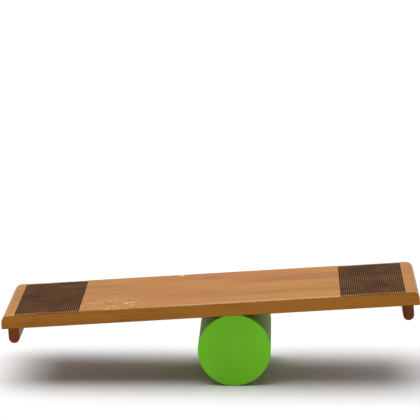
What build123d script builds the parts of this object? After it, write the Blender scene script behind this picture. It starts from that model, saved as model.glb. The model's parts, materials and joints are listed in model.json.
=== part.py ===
from build123d import *
from math import cos, radians, sin, tan
import os

# A balance board: a thick wooden deck with a grooved foot zone at each end and a stop rail under
# each end, standing on a loose roller. Millimetres. +Z is up, +X runs along the deck and -Y is
# the front. The origin is on the floor, under the middle of the deck. The deck is held as it
# balances at rest, tipped a little towards its -X end, with the roller a little to the +X side.

# Deck: a panel glued up from staves that run its whole length.
deck_length = 800.0
deck_depth = 280.0
deck_thickness = 27.0
stave_count = 5
end_round = 15.0  # top edge across each end
end_bottom_round = 2.0  # bottom edge across each end
deck_arris = 1.5  # eased edges around the front and rear faces

# Foot zones: grooves cut across the deck, open at the front and rear edges.
groove_count = 31
groove_pitch = 4.0
groove_width = 2.0
groove_depth = 1.6
groove_inset = 28.0  # from the deck's end to the outermost groove

# Stop rails: glued, screwed and dowelled across the underside, with a full-round lower edge.
rail_width = 21.0
rail_height = 28.0
rail_inset = 12.5  # from the deck's end to the rail's outer face
rail_chamfer = 1.0

# Rail screws: countersunk, driven from below through pockets in the rail.
screw_length = 40.0
screw_radius = 2.25
screw_tip = 4.0
head_radius = 4.3
head_rim = 0.4
head_angle = 90.0  # of the cone under the head
recess_span = 4.4
recess_width = 0.9
recess_depth = 1.8
pocket_depth = 8.0  # from the rail's lowest line to the pocket's floor
head_clearance = 0.3  # radial, head in pocket
shank_clearance = 0.25  # radial, shank in rail
screw_end_space = 1.0

# Rail dowels.
dowel_radius = 4.0
dowel_length = 30.0
dowel_in_rail = 15.0
dowel_chamfer = 1.0
dowel_clearance = 0.05  # radial
dowel_end_space = 1.0

# Roller: a tube closed by two discs that cover its ends, with a stiffening rib halfway.
roller_radius = 70.0
roller_wall = 5.0
roller_setback = 12.0  # from the deck's front or rear face to the roller's end
disc_thickness = 6.0
disc_edge_round = 1.5
plug_length = 18.0
plug_wall = 5.0
plug_clearance = 0.1  # radial, disc plug in tube
rib_thickness = 8.0
rib_chamfer = 1.5
rib_clearance = 0.3  # radial, rib in tube

# Rest pose.
rest_tilt = 3.75  # degrees, -X end down
rest_offset = 41.0  # along the deck, from its middle to the line where it touches the roller
deck_clearance = 0.3  # deck over roller

# What follows from those sizes.
stave_width = deck_depth / stave_count
stave_y = [(number - (stave_count + 1) / 2) * stave_width for number in range(1, stave_count + 1)]
screw_y = stave_y[0::2]
dowel_y = stave_y[1::2]
zone_x = deck_length / 2 - groove_inset - (groove_count - 1) * groove_pitch / 2
rail_x = deck_length / 2 - rail_inset - rail_width / 2
pocket_floor = rail_height - pocket_depth  # below the deck's underside
head_slope = tan(radians(head_angle / 2))
screw_bottom = pocket_floor + head_rim - head_clearance / head_slope
tube_radius = roller_radius - roller_wall
roller_length = deck_depth - 2 * roller_setback
tube_length = roller_length - 2 * disc_thickness

tilt = radians(rest_tilt)
along = Vector(cos(tilt), 0, sin(tilt))
upward = Vector(-sin(tilt), 0, cos(tilt))
roller_x = rest_offset * cos(tilt) + (roller_radius + deck_clearance) * sin(tilt)
deck_z = roller_radius + (roller_radius + deck_clearance) * cos(tilt) - rest_offset * sin(tilt)
underside = Plane(origin=(0, 0, deck_z), x_dir=along, z_dir=upward)


def on_deck(x, y, z):
    """A point x along the deck from its middle, y to the rear, and z above its underside."""
    return underside.from_local_coords(Vector(x, y, z))


def deck_section(y):
    """The deck's side-on section plane at y: x along the deck, y above its underside."""
    return Plane(origin=(0, y, deck_z), x_dir=along, z_dir=(0, -1, 0))


def roller_section(y):
    """The roller's cross-section plane at y, facing the front."""
    return Plane(origin=(roller_x, y, roller_radius), x_dir=(1, 0, 0), z_dir=(0, -1, 0))


def finish(piece, name):
    """Label a piece and write it out."""
    piece.part.label = name
    export_step(piece.part, f"parts/{name}.step")


def make_stave(number):
    y = stave_y[number - 1]
    with BuildPart() as stave:
        with BuildSketch(deck_section(y)) as outline:
            with Locations((0, deck_thickness / 2)):
                Rectangle(deck_length, deck_thickness)
            fillet(outline.vertices().group_by(Axis.Y)[-1], end_round)
            fillet(outline.vertices().group_by(Axis.Y)[0], end_bottom_round)
        extrude(amount=stave_width / 2, both=True)

        outer_faces = stave.faces().filter_by(Plane.XZ).sort_by(Axis.Y)
        if number == 1:
            fillet(outer_faces[0].edges(), deck_arris)
        if number == stave_count:
            fillet(outer_faces[-1].edges(), deck_arris)

        with BuildSketch(deck_section(y)):
            for x in (-zone_x, zone_x):
                with Locations((x, deck_thickness - groove_depth / 2)):
                    with GridLocations(groove_pitch, 0, groove_count, 1):
                        Rectangle(groove_width, groove_depth)
        extrude(amount=stave_width / 2, both=True, mode=Mode.SUBTRACT)

        with BuildSketch(underside):
            with Locations((-rail_x, y), (rail_x, y)):
                Circle(screw_radius if y in screw_y else dowel_radius + dowel_clearance)
        if y in screw_y:
            extrude(amount=screw_length - screw_bottom + screw_end_space, mode=Mode.SUBTRACT)
        else:
            extrude(amount=dowel_length - dowel_in_rail + dowel_end_space, mode=Mode.SUBTRACT)
    finish(stave, f"deck_stave_{number}")


def make_rail(side, x):
    with BuildPart() as rail:
        with BuildSketch(deck_section(deck_depth / 2)):
            with Locations((x, (rail_width / 2 - rail_height) / 2)):
                Rectangle(rail_width, rail_height - rail_width / 2)
            with Locations((x, rail_width / 2 - rail_height)):
                Circle(rail_width / 2)
        extrude(amount=deck_depth)

        ends = rail.faces().filter_by(Plane.XZ)
        for end in ends:
            chamfer(end.edges().sort_by(Axis((0, 0, 0), upward))[:-1], rail_chamfer)

        pocket = Plane(origin=on_deck(x, 0, -pocket_floor), x_dir=-along, z_dir=-upward)
        with Locations(pocket):
            with Locations(*[(0, y) for y in screw_y]):
                CounterSinkHole(
                    radius=screw_radius + shank_clearance,
                    counter_sink_radius=head_radius + head_clearance,
                    counter_sink_angle=head_angle,
                )

        with BuildSketch(underside):
            with Locations(*[(x, y) for y in dowel_y]):
                Circle(dowel_radius + dowel_clearance)
        extrude(amount=-dowel_in_rail, mode=Mode.SUBTRACT)
    finish(rail, f"{side}_stop_rail")


def make_screw(side, number, x, y):
    head = on_deck(x, y, -screw_bottom)
    with BuildPart() as screw:
        with BuildSketch(Plane(origin=head, x_dir=along, z_dir=(0, -1, 0))):
            with BuildLine():
                Polyline(
                    (0, 0),
                    (head_radius, 0),
                    (head_radius, head_rim),
                    (screw_radius, head_rim + (head_radius - screw_radius) / head_slope),
                    (screw_radius, screw_length - screw_tip),
                    (0, screw_length),
                    close=True,
                )
            make_face()
        revolve(axis=Axis(head, upward))

        with BuildSketch(Plane(origin=head, x_dir=along, z_dir=upward)):
            Rectangle(recess_span, recess_width)
            Rectangle(recess_width, recess_span)
        extrude(amount=recess_depth, mode=Mode.SUBTRACT)
    finish(screw, f"{side}_rail_screw_{number}")


def make_dowel(side, number, x, y):
    with BuildPart() as dowel:
        with BuildSketch(Plane(origin=on_deck(x, y, -dowel_in_rail), x_dir=along, z_dir=upward)):
            Circle(dowel_radius)
        extrude(amount=dowel_length)
        chamfer(dowel.edges().filter_by(GeomType.CIRCLE), dowel_chamfer)
    finish(dowel, f"{side}_rail_dowel_{number}")


def make_tube():
    with BuildPart() as tube:
        with BuildSketch(roller_section(0)):
            Circle(roller_radius)
            Circle(tube_radius, mode=Mode.SUBTRACT)
        extrude(amount=tube_length / 2, both=True)
    finish(tube, "roller_tube")


def make_end_disc(name, facing):
    """facing is -1 for the front disc and 1 for the rear one."""
    plug_radius = tube_radius - plug_clearance
    with BuildPart() as disc:
        with BuildSketch(roller_section(facing * tube_length / 2)):
            Circle(roller_radius)
        extrude(amount=-facing * disc_thickness)
        rim = disc.edges().filter_by(GeomType.CIRCLE).sort_by(Axis.Y)[0 if facing < 0 else -1]
        fillet(rim, disc_edge_round)

        with BuildSketch(roller_section(facing * tube_length / 2)):
            Circle(plug_radius)
            Circle(plug_radius - plug_wall, mode=Mode.SUBTRACT)
        extrude(amount=facing * plug_length)
    finish(disc, name)


def make_rib():
    with BuildPart() as rib:
        with BuildSketch(roller_section(0)):
            Circle(tube_radius - rib_clearance)
        extrude(amount=rib_thickness / 2, both=True)
        chamfer(rib.edges().filter_by(GeomType.CIRCLE), rib_chamfer)
    finish(rib, "roller_middle_rib")


os.makedirs("parts", exist_ok=True)

for stave_number in range(1, stave_count + 1):
    make_stave(stave_number)

for rail_side, rail_position in (("left", -rail_x), ("right", rail_x)):
    make_rail(rail_side, rail_position)
    for screw_number, screw_position in enumerate(screw_y, start=1):
        make_screw(rail_side, screw_number, rail_position, screw_position)
    for dowel_number, dowel_position in enumerate(dowel_y, start=1):
        make_dowel(rail_side, dowel_number, rail_position, dowel_position)

make_tube()
make_end_disc("front_end_disc", -1)
make_end_disc("rear_end_disc", 1)
make_rib()
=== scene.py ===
import json
from math import atan2, radians

import bmesh
import bpy
from bpy.props import FloatProperty, FloatVectorProperty, IntProperty, PointerProperty
from bpy.types import Operator, Panel, PropertyGroup
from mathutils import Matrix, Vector


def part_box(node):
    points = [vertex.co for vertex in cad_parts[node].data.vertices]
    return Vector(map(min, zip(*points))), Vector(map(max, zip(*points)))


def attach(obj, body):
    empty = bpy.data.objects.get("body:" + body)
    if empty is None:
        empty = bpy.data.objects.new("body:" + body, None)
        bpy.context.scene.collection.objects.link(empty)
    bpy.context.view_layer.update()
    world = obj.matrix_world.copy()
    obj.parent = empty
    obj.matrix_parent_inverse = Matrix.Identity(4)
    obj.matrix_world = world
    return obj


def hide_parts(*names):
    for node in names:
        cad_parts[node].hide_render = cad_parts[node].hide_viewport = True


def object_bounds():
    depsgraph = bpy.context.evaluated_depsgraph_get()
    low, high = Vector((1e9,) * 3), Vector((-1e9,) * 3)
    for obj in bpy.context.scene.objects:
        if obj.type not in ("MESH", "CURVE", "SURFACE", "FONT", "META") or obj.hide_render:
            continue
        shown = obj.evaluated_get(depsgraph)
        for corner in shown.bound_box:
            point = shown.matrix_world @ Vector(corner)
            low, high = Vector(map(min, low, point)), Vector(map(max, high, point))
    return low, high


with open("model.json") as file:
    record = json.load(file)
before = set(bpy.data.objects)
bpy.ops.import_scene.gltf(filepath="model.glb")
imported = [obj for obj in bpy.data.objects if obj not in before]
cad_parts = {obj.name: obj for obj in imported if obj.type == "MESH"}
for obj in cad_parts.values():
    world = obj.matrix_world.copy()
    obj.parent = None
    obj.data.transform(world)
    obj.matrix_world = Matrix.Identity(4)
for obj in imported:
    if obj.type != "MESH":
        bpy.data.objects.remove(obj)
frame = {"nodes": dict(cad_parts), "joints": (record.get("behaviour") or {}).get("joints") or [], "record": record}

bl_info = {
    "name": "Balance Board",
    "version": (1, 0, 0),
    "blender": (4, 5, 0),
    "location": "View3D > Sidebar > Board",
    "description": "Builds a wooden balance board on its green roller",
    "category": "Add Mesh",
}

CAD_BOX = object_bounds()
MM = 0.001
HAIR = 0.1 * MM  # two places closer than this are the same place


# ---------------------------------------------------------------- places read from the frame

def joint(name):
    """The joint of that name in the record."""
    return next(j for j in frame["joints"] if j["name"] == name)


def mount(name):
    """The mount of that name in the record."""
    return next(m for m in frame["record"]["mounts"] if m["name"] == name)


def span(node, direction):
    """How far a CAD node reaches along a direction: its lowest and highest value."""
    values = [v.co.dot(direction) for v in frame["nodes"][node].data.vertices]
    return min(values), max(values)


UP = Vector(mount("standing_face")["axis"])
ALONG = Vector((UP.z, 0, -UP.x))
TILT = atan2(-UP.x, UP.z)
THICKNESS = span("deck_stave_1", UP)[1] - span("deck_stave_1", UP)[0]
UNDERSIDE = Vector(mount("standing_face")["pos_m"]) - THICKNESS * UP
DECK_LENGTH = span("deck_stave_1", ALONG)[1] - span("deck_stave_1", ALONG)[0]
DECK_DEPTH = CAD_BOX[1].y - CAD_BOX[0].y
STAVES = sorted(name for name in frame["nodes"] if name.startswith("deck_stave_"))
SCREWS = sorted(name for name in frame["nodes"] if "_rail_screw_" in name)
DOWELS = sorted(name for name in frame["nodes"] if "_rail_dowel_" in name)
ROLLER_AXIS = Vector(joint("deck_tilt")["pos_m"])
ROLLER_RADIUS = ROLLER_AXIS.z

# Marks on the deck's top in its own frame: along, to the rear.
SCUFFS_AT = (-0.19, -0.095)
SCUFFS_REACH = (0.075, 0.062)
KNOCK_AT = (-0.062, DECK_DEPTH / 2 - 7 * MM)
KNOCK_REACH = (8 * MM, 9 * MM)


def deck_place(node):
    """A node's lowest and highest corner in the deck's own frame: along, to the rear, upward."""
    corners = [Vector(), Vector()]
    for axis, direction in enumerate((ALONG, Vector((0, 1, 0)), UP)):
        offset = UNDERSIDE.dot(direction)
        for corner, value in zip(corners, span(node, direction)):
            corner[axis] = value - offset
    return corners


# ---------------------------------------------------------------- sizes and colours

def length(name, text, value):
    return FloatProperty(name=name, description=text, default=value, min=0.0,
                         unit="LENGTH", precision=4)


def colour(name, text, value):
    return FloatVectorProperty(name=name, description=text, default=value, min=0.0, max=1.0,
                               subtype="COLOR", size=3)


def share(name, text, value):
    return FloatProperty(name=name, description=text, default=value, min=0.0, max=1.0,
                         subtype="FACTOR")


class DeckSettings(PropertyGroup):
    """Sizes and colours of the deck's staves."""

    end_round: length("End round", "Radius of the top edge across each end", 15 * MM)
    end_bottom_round: length("Lower end round", "Radius of the bottom edge across each end", 2 * MM)
    arris: length("Eased edge", "Radius around the front and rear faces", 1.5 * MM)
    groove_count: IntProperty(name="Grooves", description="Grooves in each foot zone",
                              default=31, min=1)
    groove_pitch: length("Groove pitch", "From one groove to the next", 4 * MM)
    groove_width: length("Groove width", "Width of each groove", 2 * MM)
    groove_depth: length("Groove depth", "Depth of each groove", 1.6 * MM)
    groove_inset: length("Groove inset", "From the deck's end to its outermost groove", 28 * MM)
    groove_edge: length("Ridge round", "Radius worn onto the ridges between grooves", 0.35 * MM)
    wood: colour("Wood", "Lacquered wood between the growth lines", (0.410, 0.156, 0.0135))
    growth: colour("Growth lines", "Darker lines of late growth", (0.215, 0.067, 0.0055))
    bare: colour("Bare wood", "Wood where the lacquer is scuffed away", (0.70, 0.50, 0.28))
    # Near-black colour painted as shade into the groove floors and onto the deck's underside, and used for the
    # darker foot zones
    darkening: colour("Groove dirt", "What has settled in the grooves", (0.020, 0.009, 0.005))
    wear: share("Wear", "How much the edges and the top are scuffed", 0.5)


class RailSettings(PropertyGroup):
    """Sizes and colours of the stop rails."""

    chamfer: length("End chamfer", "Chamfer around each end of a rail", 1 * MM)
    pocket_radius: length("Pocket radius", "Radius of each screw's pocket", 4.6 * MM)
    pocket_depth: length("Pocket depth", "From a rail's lowest line to a pocket's floor", 8 * MM)
    wood: colour("Wood", "Oiled wood of the rails", (0.205, 0.050, 0.0075))
    growth: colour("Growth lines", "Darker lines of late growth", (0.075, 0.016, 0.0040))
    rubbed: colour("Rubbed wood", "Paler wood where a rail is rubbed", (0.36, 0.16, 0.08))


class RollerSettings(PropertyGroup):
    """Sizes and colours of the roller."""

    wall: length("Tube wall", "Thickness of the tube's wall", 5 * MM)
    edge_round: length("Disc edge round", "Radius around each disc's outer edge", 1.5 * MM)
    plug_wall: length("Plug wall", "Thickness of the ring that plugs the tube", 5 * MM)
    tube: colour("Tube", "Outside of the tube", (0.185, 0.345, 0.020))
    face: colour("End disc", "Satin face of the end discs", (0.182, 0.620, 0.0100))
    scuff: colour("Scuff", "Colour of rubbed plastic", (0.36, 0.56, 0.17))
    rib: colour("Rib", "Moulded rib inside the tube", (0.05, 0.055, 0.05))


class FastenerSettings(PropertyGroup):
    """Bores for the screws and dowels, and their colours."""

    shank: length("Screw bore", "Radius of the bore that each screw bites into", 2.25 * MM)
    shank_bore: length("Clearance bore", "Radius of the bore through a rail", 2.5 * MM)
    dowel_room: length("Dowel room", "Room around each dowel", 0.05 * MM)
    end_room: length("End room", "Room past the end of each screw and dowel", 1 * MM)
    zinc: colour("Zinc", "Zinc plating of the screws", (0.56, 0.55, 0.52))
    dowel: colour("Dowel", "Plain wood of the dowels", (0.62, 0.40, 0.20))


class StageSettings(PropertyGroup):
    """The floor, the light and the camera."""

    floor: colour("Floor", "Pale floor under the board", (0.76, 0.76, 0.76))
    sky: FloatProperty(name="Surround", description="Strength of the pale surround",
                       default=0.60, min=0.0)
    sky_front: share("Front share", "Strength toward the front, as a share of the surround", 0.25)
    sky_seen: FloatProperty(name="Seen surround", description="Strength the camera sees",
                            default=0.95, min=0.0)
    key: FloatProperty(name="Key light", description="Strength of the broad light overhead",
                       default=3.15, min=0.0)
    camera_place: FloatVectorProperty(name="Camera", description="Where the camera stands",
                                      default=(0.127, -5.147, 1.294), subtype="TRANSLATION")
    camera_aim: FloatVectorProperty(name="Aim", description="The point the camera looks at",
                                    default=(-0.0042, 0.0, 0.3193), subtype="TRANSLATION")
    lens: FloatProperty(name="Lens", description="Focal length", default=231.0, min=1.0,
                        unit="CAMERA")


SETTINGS = {
    "board_deck": DeckSettings,
    "board_rails": RailSettings,
    "board_roller": RollerSettings,
    "board_fasteners": FastenerSettings,
    "board_stage": StageSettings,
}


# ---------------------------------------------------------------- modelling by hand, in code

def pick(piece):
    """Make this piece the only one selected, and the active one."""
    bpy.ops.object.select_all(action="DESELECT")
    piece.select_set(True)
    bpy.context.view_layer.objects.active = piece


def start_piece(name):
    """Name the primitive that was just added and give it a mesh of the same name."""
    piece = bpy.context.object
    piece.name = name
    piece.data.name = name
    return piece


def apply_place(piece):
    """Put the piece's place into its mesh."""
    pick(piece)
    bpy.ops.object.transform_apply(location=True, rotation=True, scale=True)


def edit(piece, edges=None, faces=None):
    """Enter edit mode with only the edges or faces selected that pass the given test."""
    pick(piece)
    bpy.ops.object.mode_set(mode="EDIT")
    bpy.ops.mesh.select_mode(type="FACE" if faces else "EDGE")
    bpy.ops.mesh.select_all(action="DESELECT")
    mesh = bmesh.from_edit_mesh(piece.data)
    for element in mesh.faces if faces else mesh.edges:
        if (faces or edges)(element):
            element.select_set(True)
    mesh.select_flush_mode()
    bmesh.update_edit_mesh(piece.data)


def leave_edit():
    bpy.ops.object.mode_set(mode="OBJECT")


def bevel_edges(piece, test, width, segments):
    """Round the edges that pass the test."""
    edit(piece, edges=test)
    bpy.ops.mesh.bevel(offset=width, segments=segments, offset_type="OFFSET", affect="EDGES",
                       clamp_overlap=True)
    leave_edit()


def add_modifier(piece, kind, **values):
    """Add a modifier with these values and apply it."""
    pick(piece)
    modifier = piece.modifiers.new(kind.title(), kind)
    for name, value in values.items():
        setattr(modifier, name, value)
    bpy.ops.object.modifier_apply(modifier=modifier.name)


def cut(piece, cutter):
    """Cut one solid out of another and remove the cutter."""
    add_modifier(piece, "BOOLEAN", object=cutter, operation="DIFFERENCE", solver="EXACT")
    bpy.data.objects.remove(cutter)


def copy_of(piece, name):
    """A copy with its own mesh."""
    copy = piece.copy()
    copy.data = piece.data.copy()
    copy.name = name
    copy.data.name = name
    bpy.context.collection.objects.link(copy)
    return copy


def shade(piece, angle=50):
    """Smooth shading across every edge gentler than the angle, with broad faces kept flat."""
    pick(piece)
    bpy.ops.object.shade_smooth_by_angle(angle=radians(angle))
    add_modifier(piece, "WEIGHTED_NORMAL", keep_sharp=True)


def set_on_deck(piece):
    """Turn a piece made in the deck's own frame to lie on the tipped deck."""
    piece.rotation_euler = (0, -TILT, 0)
    piece.location = UNDERSIDE
    apply_place(piece)


def middle(edge):
    return (edge.verts[0].co + edge.verts[1].co) / 2


def runs_along(edge, axis):
    """True if the edge lies along that axis of its piece."""
    direction = edge.verts[1].co - edge.verts[0].co
    return abs(direction[axis]) > 0.999 * direction.length


# ---------------------------------------------------------------- shader building

class Shader:
    """A node tree under construction, in a material or in a group."""

    def __init__(self, tree):
        self.tree = tree

    def node(self, kind, inputs=None, **values):
        made = self.tree.nodes.new(kind)
        for name, value in values.items():
            setattr(made, name, value)
        for name, value in (inputs or {}).items():
            self.feed(value, made.inputs[name])
        return made

    def feed(self, value, socket):
        """Link a socket to a socket, or set a plain value on it."""
        if isinstance(value, bpy.types.NodeSocket):
            self.tree.links.new(value, socket)
        elif hasattr(value, "__len__") and len(value) == 3 and socket.type == "RGBA":
            socket.default_value = (*value, 1)
        else:
            socket.default_value = value

    def math(self, operation, *values, clamp=False):
        inputs = {index: value for index, value in enumerate(values)}
        return self.node("ShaderNodeMath", inputs, operation=operation, use_clamp=clamp).outputs[0]

    def mix(self, factor, first, second, blend="MIX"):
        made = self.node("ShaderNodeMix", data_type="RGBA", blend_type=blend)
        for socket, value in zip((0, 6, 7), (factor, first, second)):
            self.feed(value, made.inputs[socket])
        return made.outputs[2]

    def ramp(self, value, low, high, first=0.0, last=1.0):
        """Map a value from one range to another, eased and clamped."""
        return self.node("ShaderNodeMapRange", {0: value, 1: low, 2: high, 3: first, 4: last},
                         interpolation_type="SMOOTHSTEP").outputs[0]

    def noise(self, vector, scale, detail=3.0, rough=0.55, distortion=0.0):
        return self.node("ShaderNodeTexNoise", {"Vector": vector, "Scale": scale, "Detail": detail,
                                                "Roughness": rough, "Distortion": distortion}
                         ).outputs["Fac"]

    def stretch(self, vector, scale, location=(0, 0, 0)):
        return self.node("ShaderNodeMapping", {"Vector": vector, "Scale": scale,
                                               "Location": location}).outputs[0]

    def split(self, vector):
        return self.node("ShaderNodeSeparateXYZ", {0: vector}).outputs


def new_group(name, inputs, outputs):
    """A shader node group with these sockets, and the shader builder for its inside."""
    tree = bpy.data.node_groups.new(name, "ShaderNodeTree")
    for socket, kind, value in inputs:
        made = tree.interface.new_socket(socket, in_out="INPUT", socket_type=kind)
        if value is not None:
            made.default_value = value
    for socket, kind in outputs:
        tree.interface.new_socket(socket, in_out="OUTPUT", socket_type=kind)
    shader = Shader(tree)
    return shader, shader.node("NodeGroupInput").outputs, shader.node("NodeGroupOutput").inputs


def group_once(name, build):
    """The group of that name, built the first time it is asked for."""
    return bpy.data.node_groups.get(name) or build(name)


def build_wood_grain(name):
    """Straight-grained wood. The grain runs along X of the vector given, in metres.

    Each noise is drawn out along X: few cells per metre along the grain, many across it.
    """
    shader, given, result = new_group(
        name,
        [("Vector", "NodeSocketVector", None), ("Light", "NodeSocketColor", (0.5, 0.2, 0.05, 1)),
         ("Dark", "NodeSocketColor", (0.3, 0.1, 0.02, 1)), ("Tone", "NodeSocketFloat", 0.5),
         ("Contrast", "NodeSocketFloat", 0.5)],
        [("Color", "NodeSocketColor"), ("Fibre", "NodeSocketFloat"), ("Height", "NodeSocketFloat")],
    )
    place = given["Vector"]
    drift = shader.noise(shader.stretch(place, (1.6, 11, 11)), 1.0, detail=2.0)
    rings = shader.math("PINGPONG", shader.math("MULTIPLY", drift, 9.0), 0.5)
    rings = shader.ramp(rings, 0.18, 0.5)
    fibre = shader.noise(shader.stretch(place, (7, 320, 320)), 1.0, detail=3.0)
    pores = shader.noise(shader.stretch(place, (40, 900, 900)), 1.0, detail=1.0)
    pores = shader.ramp(pores, 0.58, 0.68)
    broad = shader.noise(shader.stretch(place, (2.2, 7, 7)), 1.0, detail=1.0)

    lines = shader.math("ADD", shader.math("MULTIPLY", rings, 0.40),
                        shader.math("MULTIPLY", shader.ramp(fibre, 0.38, 0.62), 0.45))
    lines = shader.math("ADD", lines, shader.math("MULTIPLY", pores, 0.50))
    shift = shader.math("MULTIPLY_ADD", shader.math("SUBTRACT", broad, 0.5), 1.4,
                        shader.math("SUBTRACT", given["Tone"], 0.5))
    factor = shader.math("ADD", shader.math("MULTIPLY", lines, given["Contrast"]), shift,
                         clamp=True)
    shader.feed(shader.mix(factor, given["Light"], given["Dark"]), result["Color"])
    shader.feed(fibre, result["Fibre"])
    height = shader.math("SUBTRACT", shader.math("MULTIPLY", fibre, 0.35),
                         shader.math("MULTIPLY", pores, 0.65))
    shader.feed(height, result["Height"])
    return shader.tree


def build_scratches(name):
    """Thin scratches in two directions across X and Y, gathered in patches."""
    shader, given, result = new_group(
        name,
        [("Vector", "NodeSocketVector", None), ("Density", "NodeSocketFloat", 0.5),
         ("Turn", "NodeSocketFloat", 0.3)],
        [("Mask", "NodeSocketFloat")],
    )
    place = given["Vector"]
    total = None
    for sign, stretch in ((1.0, (14, 700, 5)), (-0.6, (20, 950, 5))):
        angle = shader.math("MULTIPLY", given["Turn"], sign)
        turned = shader.node("ShaderNodeVectorRotate", {"Vector": place, "Angle": angle},
                             rotation_type="Z_AXIS").outputs[0]
        lines = shader.ramp(shader.noise(shader.stretch(turned, stretch), 1.0, detail=1.0),
                            0.70, 0.76)
        total = lines if total is None else shader.math("MAXIMUM", total, lines)
    patches = shader.noise(place, 16.0, detail=2.0)
    limit = shader.math("SUBTRACT", 0.80, shader.math("MULTIPLY", given["Density"], 0.45))
    gathered = shader.ramp(patches, limit, shader.math("ADD", limit, 0.12))
    shader.feed(shader.math("MULTIPLY", total, gathered), result["Mask"])
    return shader.tree


def build_worn_edge(name):
    """Chips along two edges that run along X, at plus and minus Half depth in Y and at Top in Z."""
    shader, given, result = new_group(
        name,
        [("Vector", "NodeSocketVector", None), ("Half depth", "NodeSocketFloat", 0.14),
         ("Top", "NodeSocketFloat", 0.027), ("Reach", "NodeSocketFloat", 0.003),
         ("Amount", "NodeSocketFloat", 0.5)],
        [("Mask", "NodeSocketFloat")],
    )
    _, y, z = shader.split(given["Vector"])
    across = shader.math("SUBTRACT", shader.math("ABSOLUTE", y), given["Half depth"])
    above = shader.math("SUBTRACT", z, given["Top"])
    away = shader.math("SQRT", shader.math("ADD", shader.math("MULTIPLY", across, across),
                                           shader.math("MULTIPLY", above, above)))
    chips = shader.noise(shader.stretch(given["Vector"], (60, 140, 140)), 1.0, detail=4.0,
                         rough=0.7)
    runs = shader.noise(shader.stretch(given["Vector"], (6, 3, 3)), 1.0, detail=1.0)
    eaten = shader.math("MULTIPLY", shader.math("ADD", chips, shader.math("SUBTRACT", runs, 0.55)),
                        shader.math("MULTIPLY", given["Amount"], 2.0))
    near = shader.math("SUBTRACT", 1.0, shader.math("DIVIDE", away, given["Reach"]), clamp=True)
    shader.feed(shader.ramp(shader.math("MULTIPLY", near, eaten), 0.20, 0.34), result["Mask"])
    return shader.tree


def new_material(name, vector_location=(0, 0, 0), vector_rotation=(0, 0, 0)):
    """A material, its Principled shader and the object's coordinates from a place and a turn."""
    material = bpy.data.materials.new(name)
    material.use_nodes = True
    shader = Shader(material.node_tree)
    principled = material.node_tree.nodes["Principled BSDF"]
    coordinates = shader.node("ShaderNodeTexCoord").outputs["Object"]
    place = shader.node("ShaderNodeMapping", {"Vector": coordinates, "Location": vector_location,
                                              "Rotation": vector_rotation},
                        vector_type="TEXTURE").outputs[0]
    return material, shader, principled.inputs, place


def place_group(shader, tree, **inputs):
    """Put a group into a material with its own values."""
    made = shader.node("ShaderNodeGroup", node_tree=tree)
    for name, value in inputs.items():
        shader.feed(value, made.inputs[name.replace("_", " ")])
    return made.outputs


def bump(shader, height, strength, distance):
    return shader.node("ShaderNodeBump", {"Height": height, "Strength": strength,
                                          "Distance": distance}).outputs["Normal"]


def patch(shader, x, y, centre, reach):
    """1 in the middle of an oval on the deck, falling to 0 at its rim."""
    total = 0.0
    for value, middle_value, half in zip((x, y), centre, reach):
        away = shader.math("DIVIDE", shader.math("SUBTRACT", value, middle_value), half)
        total = shader.math("MULTIPLY_ADD", away, away, total)
    return shader.math("SUBTRACT", 1.0, shader.math("SQRT", total), clamp=True)


def groove_shade_and_zone_darkening(settings, shader, place):
    """How far the deck is darkened: painted shade in the grooves' floors, and a whole foot zone made darker."""
    x, y, z = shader.split(place)
    first = DECK_LENGTH / 2 - settings.groove_inset
    last = first - (settings.groove_count - 1) * settings.groove_pitch
    from_middle = shader.math("ABSOLUTE", x)
    steps = shader.math("DIVIDE", shader.math("SUBTRACT", from_middle, last),
                        settings.groove_pitch)
    off_line = shader.math("PINGPONG", steps, 0.5)
    half_groove = settings.groove_width / 2 / settings.groove_pitch
    spill = 0.03  # painted shade past a groove's walls, as a share of the pitch
    in_line = shader.math("LESS_THAN", off_line, half_groove + spill)
    in_zone = shader.math("COMPARE", from_middle, (first + last) / 2,
                          (first - last + settings.groove_pitch) / 2)
    low = shader.ramp(z, THICKNESS - 0.9 * settings.groove_depth,
                      THICKNESS - 0.15 * settings.groove_depth, 1.0, 0.0)
    near_top = shader.math("GREATER_THAN", z, THICKNESS - 1.5 * settings.groove_depth)
    # Painted shade: each groove's floor is darkened nearly to black, more the deeper it lies
    groove = shader.math("MULTIPLY", shader.math("MULTIPLY", in_line, in_zone), low)
    groove = shader.math("MULTIPLY", groove, near_top)

    # The whole foot zone is made darker, less so towards the front and rear edges
    zone_darkening = shader.ramp(shader.noise(place, 21.0, detail=3.0), 0.3, 0.7, 0.60, 0.86)
    inward = shader.ramp(shader.math("ABSOLUTE", y), DECK_DEPTH / 2 - 14 * MM,
                         DECK_DEPTH / 2 - 1 * MM, 1.0, 0.25)
    zone_darkening = shader.math("MULTIPLY", zone_darkening, inward)
    zone_darkening = shader.math("MULTIPLY", shader.math("MULTIPLY", zone_darkening, in_zone), near_top)
    return shader.math("MAXIMUM", shader.math("MULTIPLY", groove, 0.97), zone_darkening)


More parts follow.
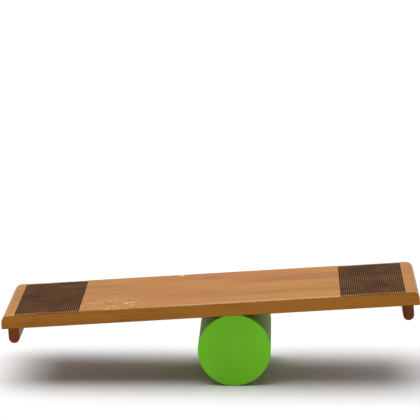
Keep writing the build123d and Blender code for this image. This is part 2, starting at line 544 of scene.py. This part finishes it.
def bared_wood(settings, shader, place):
    """How far the lacquer is gone: scratches, scuffs, one knock and the worn edges."""
    x, y, z = shader.split(place)
    on_top = shader.ramp(z, THICKNESS - 2.0 * MM, THICKNESS - 0.5 * MM)
    scratches = place_group(shader, group_once("Scratches", build_scratches), Vector=place,
                            Density=0.35 + 0.3 * settings.wear, Turn=0.35)["Mask"]
    scratches = shader.math("MULTIPLY", scratches, on_top)

    strokes = shader.noise(shader.stretch(place, (22, 60, 1)), 1.0, detail=1.0, distortion=1.2)
    strokes = shader.ramp(shader.math("ABSOLUTE", shader.math("SUBTRACT", strokes, 0.5)),
                          0.008, 0.026, 1.0, 0.0)
    broken = shader.ramp(shader.noise(place, 130.0, detail=1.0), 0.42, 0.54)
    dents = shader.ramp(shader.noise(shader.stretch(place, (90, 170, 1)), 1.0, detail=2.0),
                        0.62, 0.67)
    dents = shader.math("MAXIMUM", dents, shader.math("MULTIPLY", strokes, broken))
    scuffed = shader.ramp(patch(shader, x, y, SCUFFS_AT, SCUFFS_REACH), 0.0, 0.35)
    knock = shader.ramp(patch(shader, x, y, KNOCK_AT, KNOCK_REACH), 0.1, 0.5)
    scuffs = shader.math("MAXIMUM", shader.math("MULTIPLY", dents, scuffed), knock)
    scuffs = shader.math("MULTIPLY", scuffs, on_top)

    edges = place_group(shader, group_once("Worn edge", build_worn_edge), Vector=place,
                        Half_depth=DECK_DEPTH / 2, Top=THICKNESS, Reach=3.5 * MM,
                        Amount=settings.wear)["Mask"]
    marks = shader.math("MAXIMUM", shader.math("MULTIPLY", scratches, 0.55), scuffs)
    return shader.math("MAXIMUM", marks, shader.math("MULTIPLY", edges, 0.8))


def deck_wood(settings, number):
    """Lacquered stave wood, with painted shade in the grooves and under the deck, darker foot zones, and scuffs
    down to bare wood.
    """
    material, shader, surface, place = new_material(
        f"deck_wood_{number}", UNDERSIDE, (0, -TILT, 0))
    own_place = (0.37 * number, 0.21 * number, 0.13 * number)  # no two staves share their grain
    own_tone = 0.38 + 0.02 * (number * 2 % 5 - 2)  # neighbours differ a little
    grain = place_group(shader, group_once("Wood grain", build_wood_grain),
                        Vector=shader.stretch(place, (1, 1, 1), location=own_place),
                        Light=settings.wood, Dark=settings.growth, Tone=own_tone, Contrast=0.7)
    bared = bared_wood(settings, shader, place)
    # Painted shade: the deck's underside and the lowest 1.6 mm of its faces are darkened
    below = shader.ramp(shader.split(place)[2], 0.3 * MM, 1.6 * MM, 0.45, 0.0)
    # Painted shade in the grooves and underneath, together with the darker foot zones
    darkened = shader.math("MAXIMUM", groove_shade_and_zone_darkening(settings, shader, place), below)

    wood = shader.mix(shader.math("MULTIPLY", bared, 0.8), grain["Color"], settings.bare)
    shader.feed(shader.mix(darkened, wood, settings.darkening), surface["Base Color"])
    rough = shader.math("MULTIPLY_ADD", grain["Fibre"], 0.12, 0.32)
    rough = shader.math("ADD", rough, shader.math("MULTIPLY", bared, 0.25))
    shader.feed(shader.math("ADD", rough, shader.math("MULTIPLY", darkened, 0.4), clamp=True),
                surface["Roughness"])
    coat = shader.math("SUBTRACT", 0.08, shader.math("MULTIPLY", bared, 0.08))
    shader.feed(shader.math("SUBTRACT", coat, shader.math("MULTIPLY", darkened, 0.3), clamp=True),
                surface["Coat Weight"])
    surface["Coat Roughness"].default_value = 0.18
    surface["IOR"].default_value = 1.2
    height = shader.math("SUBTRACT", grain["Height"], shader.math("MULTIPLY", bared, 1.2))
    shader.feed(bump(shader, height, 0.35, 0.10 * MM), surface["Normal"])
    return material


def rail_wood(settings, side):
    """Oiled dark wood with its grain along Y."""
    material, shader, surface, place = new_material(f"rail_wood_{side}", UNDERSIDE, (0, -TILT, 0))
    turned = shader.node("ShaderNodeMapping", {"Vector": place, "Rotation": (0, 0, radians(90))}
                         ).outputs[0]
    grain = place_group(shader, group_once("Wood grain", build_wood_grain), Vector=turned,
                        Light=settings.wood, Dark=settings.growth, Tone=0.40, Contrast=1.1)
    scratches = place_group(shader, group_once("Scratches", build_scratches), Vector=turned,
                            Density=0.5, Turn=0.8)["Mask"]
    height = shader.split(place)[2]
    lower_edge = shader.ramp(height, -27.5 * MM, -24 * MM, 0.35, 0.0)
    rubbed = shader.math("MULTIPLY", lower_edge, shader.noise(place, 55.0, detail=3.0))
    pale = shader.math("MAXIMUM", shader.math("MULTIPLY", scratches, 0.4), rubbed)
    shader.feed(shader.mix(pale, grain["Color"], settings.rubbed), surface["Base Color"])
    shader.feed(shader.math("MULTIPLY_ADD", grain["Fibre"], 0.2, 0.32), surface["Roughness"])
    surface["Coat Weight"].default_value = 0.06
    surface["Coat Roughness"].default_value = 0.3
    surface["IOR"].default_value = 1.18
    shader.feed(bump(shader, grain["Height"], 0.45, 0.12 * MM), surface["Normal"])
    return material


def roller_plastic(name, base, scuff, rough, ior, turned_rings=0.0):
    """Green plastic with rubbed spots, painted lighter towards the rim and darker towards the middle of each end
    disc. Y runs along the roller, and X and Z cross it.
    """
    material, shader, surface, place = new_material(name, ROLLER_AXIS)
    x, y, z = shader.split(place)
    mottle = shader.noise(place, 26.0, detail=3.0)
    cloud = shader.noise(place, 7.0, detail=1.0)
    radius = shader.math("SQRT", shader.math("ADD", shader.math("MULTIPLY", x, x),
                                             shader.math("MULTIPLY", z, z)))
    # Random cloudy tone, plus a painted highlight towards the outer rim and painted shade towards the middle of
    # the discs
    lighter = shader.math("MULTIPLY_ADD", shader.math("SUBTRACT", cloud, 0.5), 0.16,
                          shader.ramp(radius, 0.4 * ROLLER_RADIUS, ROLLER_RADIUS, -0.05, 0.06))
    tone = shader.node("ShaderNodeHueSaturation", {
        "Color": (*base, 1), "Value": shader.math("ADD", 1.0, lighter)}).outputs[0]
    around = shader.node("ShaderNodeCombineXYZ", {
        "X": shader.math("MULTIPLY", shader.math("ARCTAN2", z, x), ROLLER_RADIUS), "Y": y,
        "Z": radius}).outputs[0]
    scratches = place_group(shader, group_once("Scratches", build_scratches), Vector=around,
                            Density=0.45, Turn=0.2)["Mask"]
    rubbed = shader.ramp(mottle, 0.58, 0.74, 0.0, 0.12)
    worn = shader.math("MAXIMUM", shader.math("MULTIPLY", scratches, 0.35), rubbed)
    shader.feed(shader.mix(worn, tone, scuff), surface["Base Color"])
    shader.feed(shader.math("ADD", rough, shader.math("MULTIPLY", worn, 0.6), clamp=True),
                surface["Roughness"])
    surface["IOR"].default_value = ior
    peel = shader.noise(place, 260.0, detail=1.0)
    ring_angle = shader.math("MULTIPLY", radius, 9000.0)  # a ring every 0.7 mm
    rings = shader.math("MULTIPLY", shader.math("SINE", ring_angle), turned_rings)
    height = shader.math("SUBTRACT", shader.math("ADD", peel, rings), worn)
    shader.feed(bump(shader, height, 0.10, 0.04 * MM), surface["Normal"])
    return material


def zinc_plate(settings):
    """Bright zinc with turning marks around the screw."""
    material, shader, surface, place = new_material("screw_zinc")
    streaks = shader.noise(shader.stretch(place, (900, 900, 200)), 1.0, detail=2.0)
    spots = shader.noise(place, 420.0, detail=3.0)
    dull = shader.ramp(spots, 0.45, 0.7)
    shader.feed(shader.mix(shader.math("MULTIPLY", dull, 0.5), settings.zinc, (0.30, 0.29, 0.26)),
                surface["Base Color"])
    surface["Metallic"].default_value = 1.0
    shader.feed(shader.math("MULTIPLY_ADD", dull, 0.25, 0.25), surface["Roughness"])
    shader.feed(bump(shader, streaks, 0.3, 0.05 * MM), surface["Normal"])
    return material


def plain_wood(settings):
    """Bare beech of the dowels, its grain standing up."""
    material, shader, surface, place = new_material("dowel_beech", UNDERSIDE, (0, -TILT, 0))
    turned = shader.node("ShaderNodeMapping", {"Vector": place, "Rotation": (0, radians(90), 0)}
                         ).outputs[0]
    dark = [value * 0.6 for value in settings.dowel]
    grain = place_group(shader, group_once("Wood grain", build_wood_grain), Vector=turned,
                        Light=settings.dowel, Dark=dark, Tone=0.5, Contrast=0.6)
    shader.feed(grain["Color"], surface["Base Color"])
    surface["Roughness"].default_value = 0.7
    shader.feed(bump(shader, grain["Height"], 0.5, 0.1 * MM), surface["Normal"])
    return material


def rib_plastic(settings):
    """Dull moulded plastic of the rib inside the tube."""
    material, shader, surface, place = new_material("rib_moulded", ROLLER_AXIS)
    speckle = shader.noise(place, 900.0, detail=2.0)
    lighter = [value * 1.5 for value in settings.rib]
    shader.feed(shader.mix(speckle, settings.rib, lighter), surface["Base Color"])
    surface["Roughness"].default_value = 0.6
    shader.feed(bump(shader, speckle, 0.4, 0.08 * MM), surface["Normal"])
    return material


def dress(node, material):
    """Give a carried CAD node its material, in its object's slots."""
    slots = frame["nodes"][node].material_slots
    if not slots:
        raise RuntimeError(f"{node} has no material slot")
    for slot in slots:
        slot.material = material


def settle(piece, node, body, material):
    """Hand a finished piece over: what it stands for, what it rides on and its finish."""
    piece.data.materials.clear()
    piece.data.materials.append(material)
    shade(piece)
    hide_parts(node)
    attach(piece, body)


# ---------------------------------------------------------------- the deck

def block(name, lowest, highest):
    """A box between two corners, with its size in its mesh."""
    bpy.ops.mesh.primitive_cube_add(size=1, location=(lowest + highest) / 2,
                                    scale=highest - lowest)
    piece = start_piece(name)
    apply_place(piece)
    return piece


def groove_cutter(settings, lowest, highest, side):
    """All the grooves of one foot zone as one cutter."""
    x = side * (DECK_LENGTH / 2 - settings.groove_inset)
    half = settings.groove_width / 2
    floor = THICKNESS - settings.groove_depth
    cutter = block("groove_cutter", Vector((x - half, lowest.y - MM, floor)),
                   Vector((x + half, highest.y + MM, THICKNESS + settings.groove_depth)))
    bevel_edges(cutter, lambda e: runs_along(e, 1) and middle(e).z < floor + HAIR, 0.4 * half, 2)
    add_modifier(cutter, "ARRAY", count=settings.groove_count, use_relative_offset=False,
                 use_constant_offset=True,
                 constant_offset_displace=(-side * settings.groove_pitch, 0, 0))
    return cutter


def is_ridge_edge(edge, settings):
    """True for the outer edges of a groove's walls, but not where two staves meet."""
    point = middle(edge)
    if point.z < THICKNESS - settings.groove_depth + 0.3 * MM or len(edge.link_faces) != 2:
        return False
    walls = [face for face in edge.link_faces if abs(face.normal.x) > 0.99]
    others = [face for face in edge.link_faces if abs(face.normal.x) < 0.3]
    if len(walls) != 1 or len(others) != 1:
        return False
    meets_stave = abs(others[0].normal.y) > 0.99 and abs(point.y) < DECK_DEPTH / 2 - MM
    return not meets_stave and abs(point.x) < DECK_LENGTH / 2 - settings.groove_inset / 2


def bore_cutter(node, radius, lowest, highest):
    """A round cutter on the axis of a screw or a dowel, between two heights."""
    centre = sum(deck_place(node), Vector()) / 2
    bpy.ops.mesh.primitive_cylinder_add(
        vertices=48, radius=radius, depth=highest - lowest,
        location=(centre.x, centre.y, (highest + lowest) / 2))
    cutter = start_piece("bore_cutter")
    apply_place(cutter)
    return cutter


def dowel_radius(node, fasteners):
    low, high = deck_place(node)
    return (high.y - low.y) / 2 + fasteners.dowel_room


def make_stave(settings, fasteners, node, number):
    """One stave: rounded ends, eased outer face, its share of the grooves and its bores."""
    lowest, highest = deck_place(node)
    stave = block(f"stave_{number}", lowest, highest)
    end = DECK_LENGTH / 2 - HAIR
    bevel_edges(stave, lambda e: runs_along(e, 1) and abs(middle(e).x) > end
                and middle(e).z > THICKNESS / 2, settings.end_round, 12)
    bevel_edges(stave, lambda e: runs_along(e, 1) and abs(middle(e).x) > end
                and middle(e).z < THICKNESS / 2 - settings.end_bottom_round,
                settings.end_bottom_round, 4)
    outer = DECK_DEPTH / 2 - HAIR
    bevel_edges(stave, lambda e: all(abs(v.co.y) > outer for v in e.verts), settings.arris, 4)
    for side in (-1, 1):
        cut(stave, groove_cutter(settings, lowest, highest, side))
    bevel_edges(stave, lambda e: is_ridge_edge(e, settings), settings.groove_edge, 2)
    for fastener in SCREWS + DOWELS:
        low, high = deck_place(fastener)
        if lowest.y < low.y and high.y < highest.y:
            radius = fasteners.shank if fastener in SCREWS else dowel_radius(fastener, fasteners)
            cut(stave, bore_cutter(fastener, radius, -MM, high.z + fasteners.end_room))
    set_on_deck(stave)
    return stave


# ---------------------------------------------------------------- the rails

def screw_pocket(settings, bore, rail_lowest, screw):
    """The cutter of one pocket: the wide bore, its cone seat and the shank's bore."""
    centre = sum(deck_place(screw), Vector()) / 2
    seat = rail_lowest.z + settings.pocket_depth
    cutter = bore_cutter(screw, settings.pocket_radius, rail_lowest.z - MM, seat)
    edit(cutter, faces=lambda f: f.normal.z > 0.9)
    cone = settings.pocket_radius - bore
    bpy.ops.mesh.extrude_region_move(TRANSFORM_OT_translate={"value": (0, 0, cone)})
    bpy.ops.transform.resize(value=[bore / settings.pocket_radius] * 2 + [1],
                             center_override=(centre.x, centre.y, seat + cone))
    bpy.ops.mesh.extrude_region_move(TRANSFORM_OT_translate={"value": (0, 0, MM - seat - cone)})
    leave_edit()
    return cutter


def make_rail(settings, fasteners, node, name, side):
    """One rail: a full round below, chamfered ends, screw pockets and dowel holes."""
    lowest, highest = deck_place(node)
    rail = block(name, lowest, highest)
    round_below = (highest.x - lowest.x) / 2 - HAIR / 10  # the two rounds don't quite meet
    bevel_edges(rail, lambda e: runs_along(e, 1) and middle(e).z < lowest.z + MM, round_below, 16)
    bevel_edges(rail, lambda e: all(abs(v.co.y) > highest.y - HAIR for v in e.verts),
                settings.chamfer, 2)
    for screw in (name for name in SCREWS if name.startswith(side)):
        cut(rail, screw_pocket(settings, fasteners.shank_bore, lowest, screw))
    for dowel in (name for name in DOWELS if name.startswith(side)):
        bottom = deck_place(dowel)[0].z - fasteners.end_room
        cut(rail, bore_cutter(dowel, dowel_radius(dowel, fasteners), bottom, MM))
    set_on_deck(rail)
    return rail


# ---------------------------------------------------------------- the roller

def roller_cylinder(name, front, rear, radius, ends):
    """A cylinder about the roller's axis from front to rear."""
    bpy.ops.mesh.primitive_cylinder_add(
        vertices=192, radius=radius, depth=rear - front, end_fill_type=ends,
        location=(ROLLER_AXIS.x, (front + rear) / 2, ROLLER_AXIS.z), rotation=(radians(90), 0, 0))
    piece = start_piece(name)
    apply_place(piece)
    return piece


def from_axis(point):
    """How far a point is from the roller's axis."""
    return Vector((point.x - ROLLER_AXIS.x, 0, point.z - ROLLER_AXIS.z)).length


def make_tube(settings):
    """The tube: an open cylinder given its wall, with both rims eased."""
    low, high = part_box("roller_tube")
    tube = roller_cylinder("tube", low.y, high.y, ROLLER_RADIUS, "NOTHING")
    add_modifier(tube, "SOLIDIFY", thickness=settings.wall, offset=-1.0, use_even_offset=True)
    edit(tube, faces=lambda f: True)
    bpy.ops.mesh.normals_make_consistent(inside=False)
    leave_edit()
    rim_round = 0.3 * MM
    bevel_edges(tube, lambda e: all(v.co.y < low.y + HAIR or v.co.y > high.y - HAIR
                                    for v in e.verts) and not crosses_wall(e), rim_round, 2)
    return tube


def crosses_wall(edge):
    """True if the edge runs from the tube's outside to its inside."""
    return abs(from_axis(edge.verts[0].co) - from_axis(edge.verts[1].co)) > MM


def make_front_disc(settings):
    """The front end disc: rounded rim, and a hollow plug drawn out of its inner face."""
    low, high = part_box("front_end_disc")
    tube_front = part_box("roller_tube")[0].y
    disc = roller_cylinder("front_disc", low.y, tube_front, ROLLER_RADIUS, "NGON")
    bevel_edges(disc, lambda e: all(v.co.y < low.y + HAIR for v in e.verts),
                settings.edge_round, 6)
    plug_length = high.y - tube_front
    plug_room = 0.1 * MM
    plug_radius = ROLLER_RADIUS - settings.wall - plug_room
    edit(disc, faces=lambda f: f.normal.y > 0.9)
    bpy.ops.mesh.inset(thickness=ROLLER_RADIUS - plug_radius)
    bpy.ops.mesh.extrude_region_move(TRANSFORM_OT_translate={"value": (0, plug_length, 0)})
    bpy.ops.mesh.inset(thickness=settings.plug_wall)
    bpy.ops.mesh.extrude_region_move(TRANSFORM_OT_translate={"value": (0, -plug_length, 0)})
    bpy.ops.mesh.select_all(action="SELECT")
    bpy.ops.mesh.normals_make_consistent(inside=False)
    leave_edit()
    return disc


# ---------------------------------------------------------------- the operators

class BOARD_OT_staves(Operator):
    """Model the deck's staves with their grooves"""

    bl_idname = "board.staves"
    bl_label = "Deck staves"

    def execute(self, context):
        settings = context.scene.board_deck
        for number, node in enumerate(STAVES, 1):
            stave = make_stave(settings, context.scene.board_fasteners, node, number)
            settle(stave, node, "deck", deck_wood(settings, number))
        return {"FINISHED"}


class BOARD_OT_rails(Operator):
    """Model the two stop rails with their screw pockets"""

    bl_idname = "board.rails"
    bl_label = "Stop rails"

    def execute(self, context):
        settings = context.scene.board_rails
        for side in ("left", "right"):
            node = f"{side}_stop_rail"
            rail = make_rail(settings, context.scene.board_fasteners, node, f"{side}_rail", side)
            settle(rail, node, "deck", rail_wood(settings, side))
        return {"FINISHED"}


class BOARD_OT_fasteners(Operator):
    """Give the screws and the dowels their zinc and their beech"""

    bl_idname = "board.fasteners"
    bl_label = "Screws and dowels"

    def execute(self, context):
        settings = context.scene.board_fasteners
        zinc = zinc_plate(settings)
        beech = plain_wood(settings)
        for node in SCREWS:
            dress(node, zinc)
        for node in DOWELS:
            dress(node, beech)
        return {"FINISHED"}


class BOARD_OT_tube(Operator):
    """Model the roller's tube"""

    bl_idname = "board.tube"
    bl_label = "Roller tube"

    def execute(self, context):
        settings = context.scene.board_roller
        tube = make_tube(settings)
        outside = roller_plastic("tube_gloss", settings.tube, settings.scuff, 0.50, 1.09)
        settle(tube, "roller_tube", "roller", outside)
        return {"FINISHED"}


class BOARD_OT_end_discs(Operator):
    """Model the front end disc and turn a copy of it to the rear"""

    bl_idname = "board.end_discs"
    bl_label = "End discs"

    def execute(self, context):
        settings = context.scene.board_roller
        satin = roller_plastic("disc_satin", settings.face, settings.scuff, 0.45, 1.30, 0.15)
        front = make_front_disc(settings)
        rear = copy_of(front, "rear_disc")
        rear.rotation_euler = (0, 0, radians(180))
        rear.location = (2 * ROLLER_AXIS.x, 0, 0)
        apply_place(rear)
        settle(front, "front_end_disc", "roller", satin)
        settle(rear, "rear_end_disc", "roller", satin)
        return {"FINISHED"}


class BOARD_OT_rib(Operator):
    """Give the rib inside the tube its moulded plastic"""

    bl_idname = "board.rib"
    bl_label = "Middle rib"

    def execute(self, context):
        dress("roller_middle_rib", rib_plastic(context.scene.board_roller))
        return {"FINISHED"}


class BOARD_OT_stage(Operator):
    """Set out the floor, the light and the camera"""

    bl_idname = "board.stage"
    bl_label = "Stage"

    def execute(self, context):
        settings = context.scene.board_stage
        lay_floor(settings)
        hang_lights(settings)
        stand_camera(context.scene, settings)
        context.scene.view_settings.view_transform = "Standard"
        return {"FINISHED"}


def lay_floor(settings):
    """A wide pale floor, slightly uneven in its paint, that can be looked through from below."""
    bpy.ops.mesh.primitive_plane_add(size=80, location=(0, 0, 0))
    floor = start_piece("floor")
    material, shader, surface, place = new_material("floor_paint")
    tone = shader.ramp(shader.noise(place, 3.0, detail=2.0), 0.2, 0.8, 0.985, 1.0)
    shader.feed(shader.mix(tone, (0.70, 0.70, 0.70), settings.floor), surface["Base Color"])
    surface["Roughness"].default_value = 0.85
    surface["Specular IOR Level"].default_value = 0.1
    clear = shader.node("ShaderNodeBsdfTransparent").outputs[0]
    behind = shader.node("ShaderNodeNewGeometry").outputs["Backfacing"]
    nodes = material.node_tree.nodes
    seen = shader.node("ShaderNodeMixShader", {0: behind, 1: nodes["Principled BSDF"].outputs[0],
                                               2: clear}).outputs[0]
    shader.feed(seen, nodes["Material Output"].inputs["Surface"])
    floor.data.materials.append(material)


def hang_lights(settings):
    """A pale surround, weaker toward the front, and one broad light overhead."""
    world = bpy.data.worlds.new("surround")
    world.use_nodes = True
    bpy.context.scene.world = world
    shader = Shader(world.node_tree)
    background = world.node_tree.nodes["Background"]
    seen = shader.node("ShaderNodeLightPath").outputs["Is Camera Ray"]
    toward = shader.split(shader.node("ShaderNodeTexCoord").outputs["Generated"])[1]
    sky = shader.ramp(toward, -0.8, 0.5, settings.sky_front * settings.sky, settings.sky)
    strength = shader.math("MAXIMUM", shader.math("MULTIPLY", seen, settings.sky_seen), sky)
    shader.feed((1.0, 1.0, 1.0), background.inputs["Color"])
    shader.feed(strength, background.inputs["Strength"])

    bpy.ops.object.light_add(type="SUN", rotation=(radians(-6), radians(-12), 0))
    key = bpy.context.object
    key.name = "key_light"
    key.data.energy = settings.key
    key.data.angle = radians(70)


def stand_camera(scene, settings):
    """The camera, level and aimed."""
    place = Vector(settings.camera_place)
    toward = Vector(settings.camera_aim) - place
    bpy.ops.object.camera_add(location=place, rotation=toward.to_track_quat("-Z", "Y").to_euler())
    camera = bpy.context.object
    camera.name = "camera"
    camera.data.lens = settings.lens
    camera.data.sensor_width = 36.0
    scene.camera = camera


class BOARD_PT_parts(Panel):
    """The board's parts and their sizes and colours"""

    bl_label = "Balance board"
    bl_idname = "BOARD_PT_parts"
    bl_space_type = "VIEW_3D"
    bl_region_type = "UI"
    bl_category = "Board"

    def draw(self, context):
        for group, operators in PARTS.items():
            box = self.layout.box()
            settings = getattr(context.scene, group)
            for name in settings.bl_rna.properties.keys():
                if name not in ("rna_type", "name"):
                    box.prop(settings, name)
            for operator in operators:
                box.operator(operator.bl_idname)


PARTS = {
    "board_deck": (BOARD_OT_staves,),
    "board_rails": (BOARD_OT_rails,),
    "board_roller": (BOARD_OT_tube, BOARD_OT_end_discs, BOARD_OT_rib),
    "board_fasteners": (BOARD_OT_fasteners,),
    "board_stage": (BOARD_OT_stage,),
}


def register():
    for group, settings in SETTINGS.items():
        bpy.utils.register_class(settings)
        setattr(bpy.types.Scene, group, PointerProperty(type=settings))
    for operators in PARTS.values():
        for operator in operators:
            bpy.utils.register_class(operator)
    bpy.utils.register_class(BOARD_PT_parts)


def unregister():
    bpy.utils.unregister_class(BOARD_PT_parts)
    for operators in reversed(PARTS.values()):
        for operator in operators:
            bpy.utils.unregister_class(operator)
    for group, settings in SETTINGS.items():
        delattr(bpy.types.Scene, group)
        bpy.utils.unregister_class(settings)


def main():
    """Make every part in order."""
    register()
    bpy.ops.board.staves()
    bpy.ops.board.rails()
    bpy.ops.board.fasteners()
    bpy.ops.board.tube()
    bpy.ops.board.end_discs()
    bpy.ops.board.rib()
    bpy.ops.board.stage()
    bpy.context.view_layer.update()


if __name__ == "__main__":
    main()
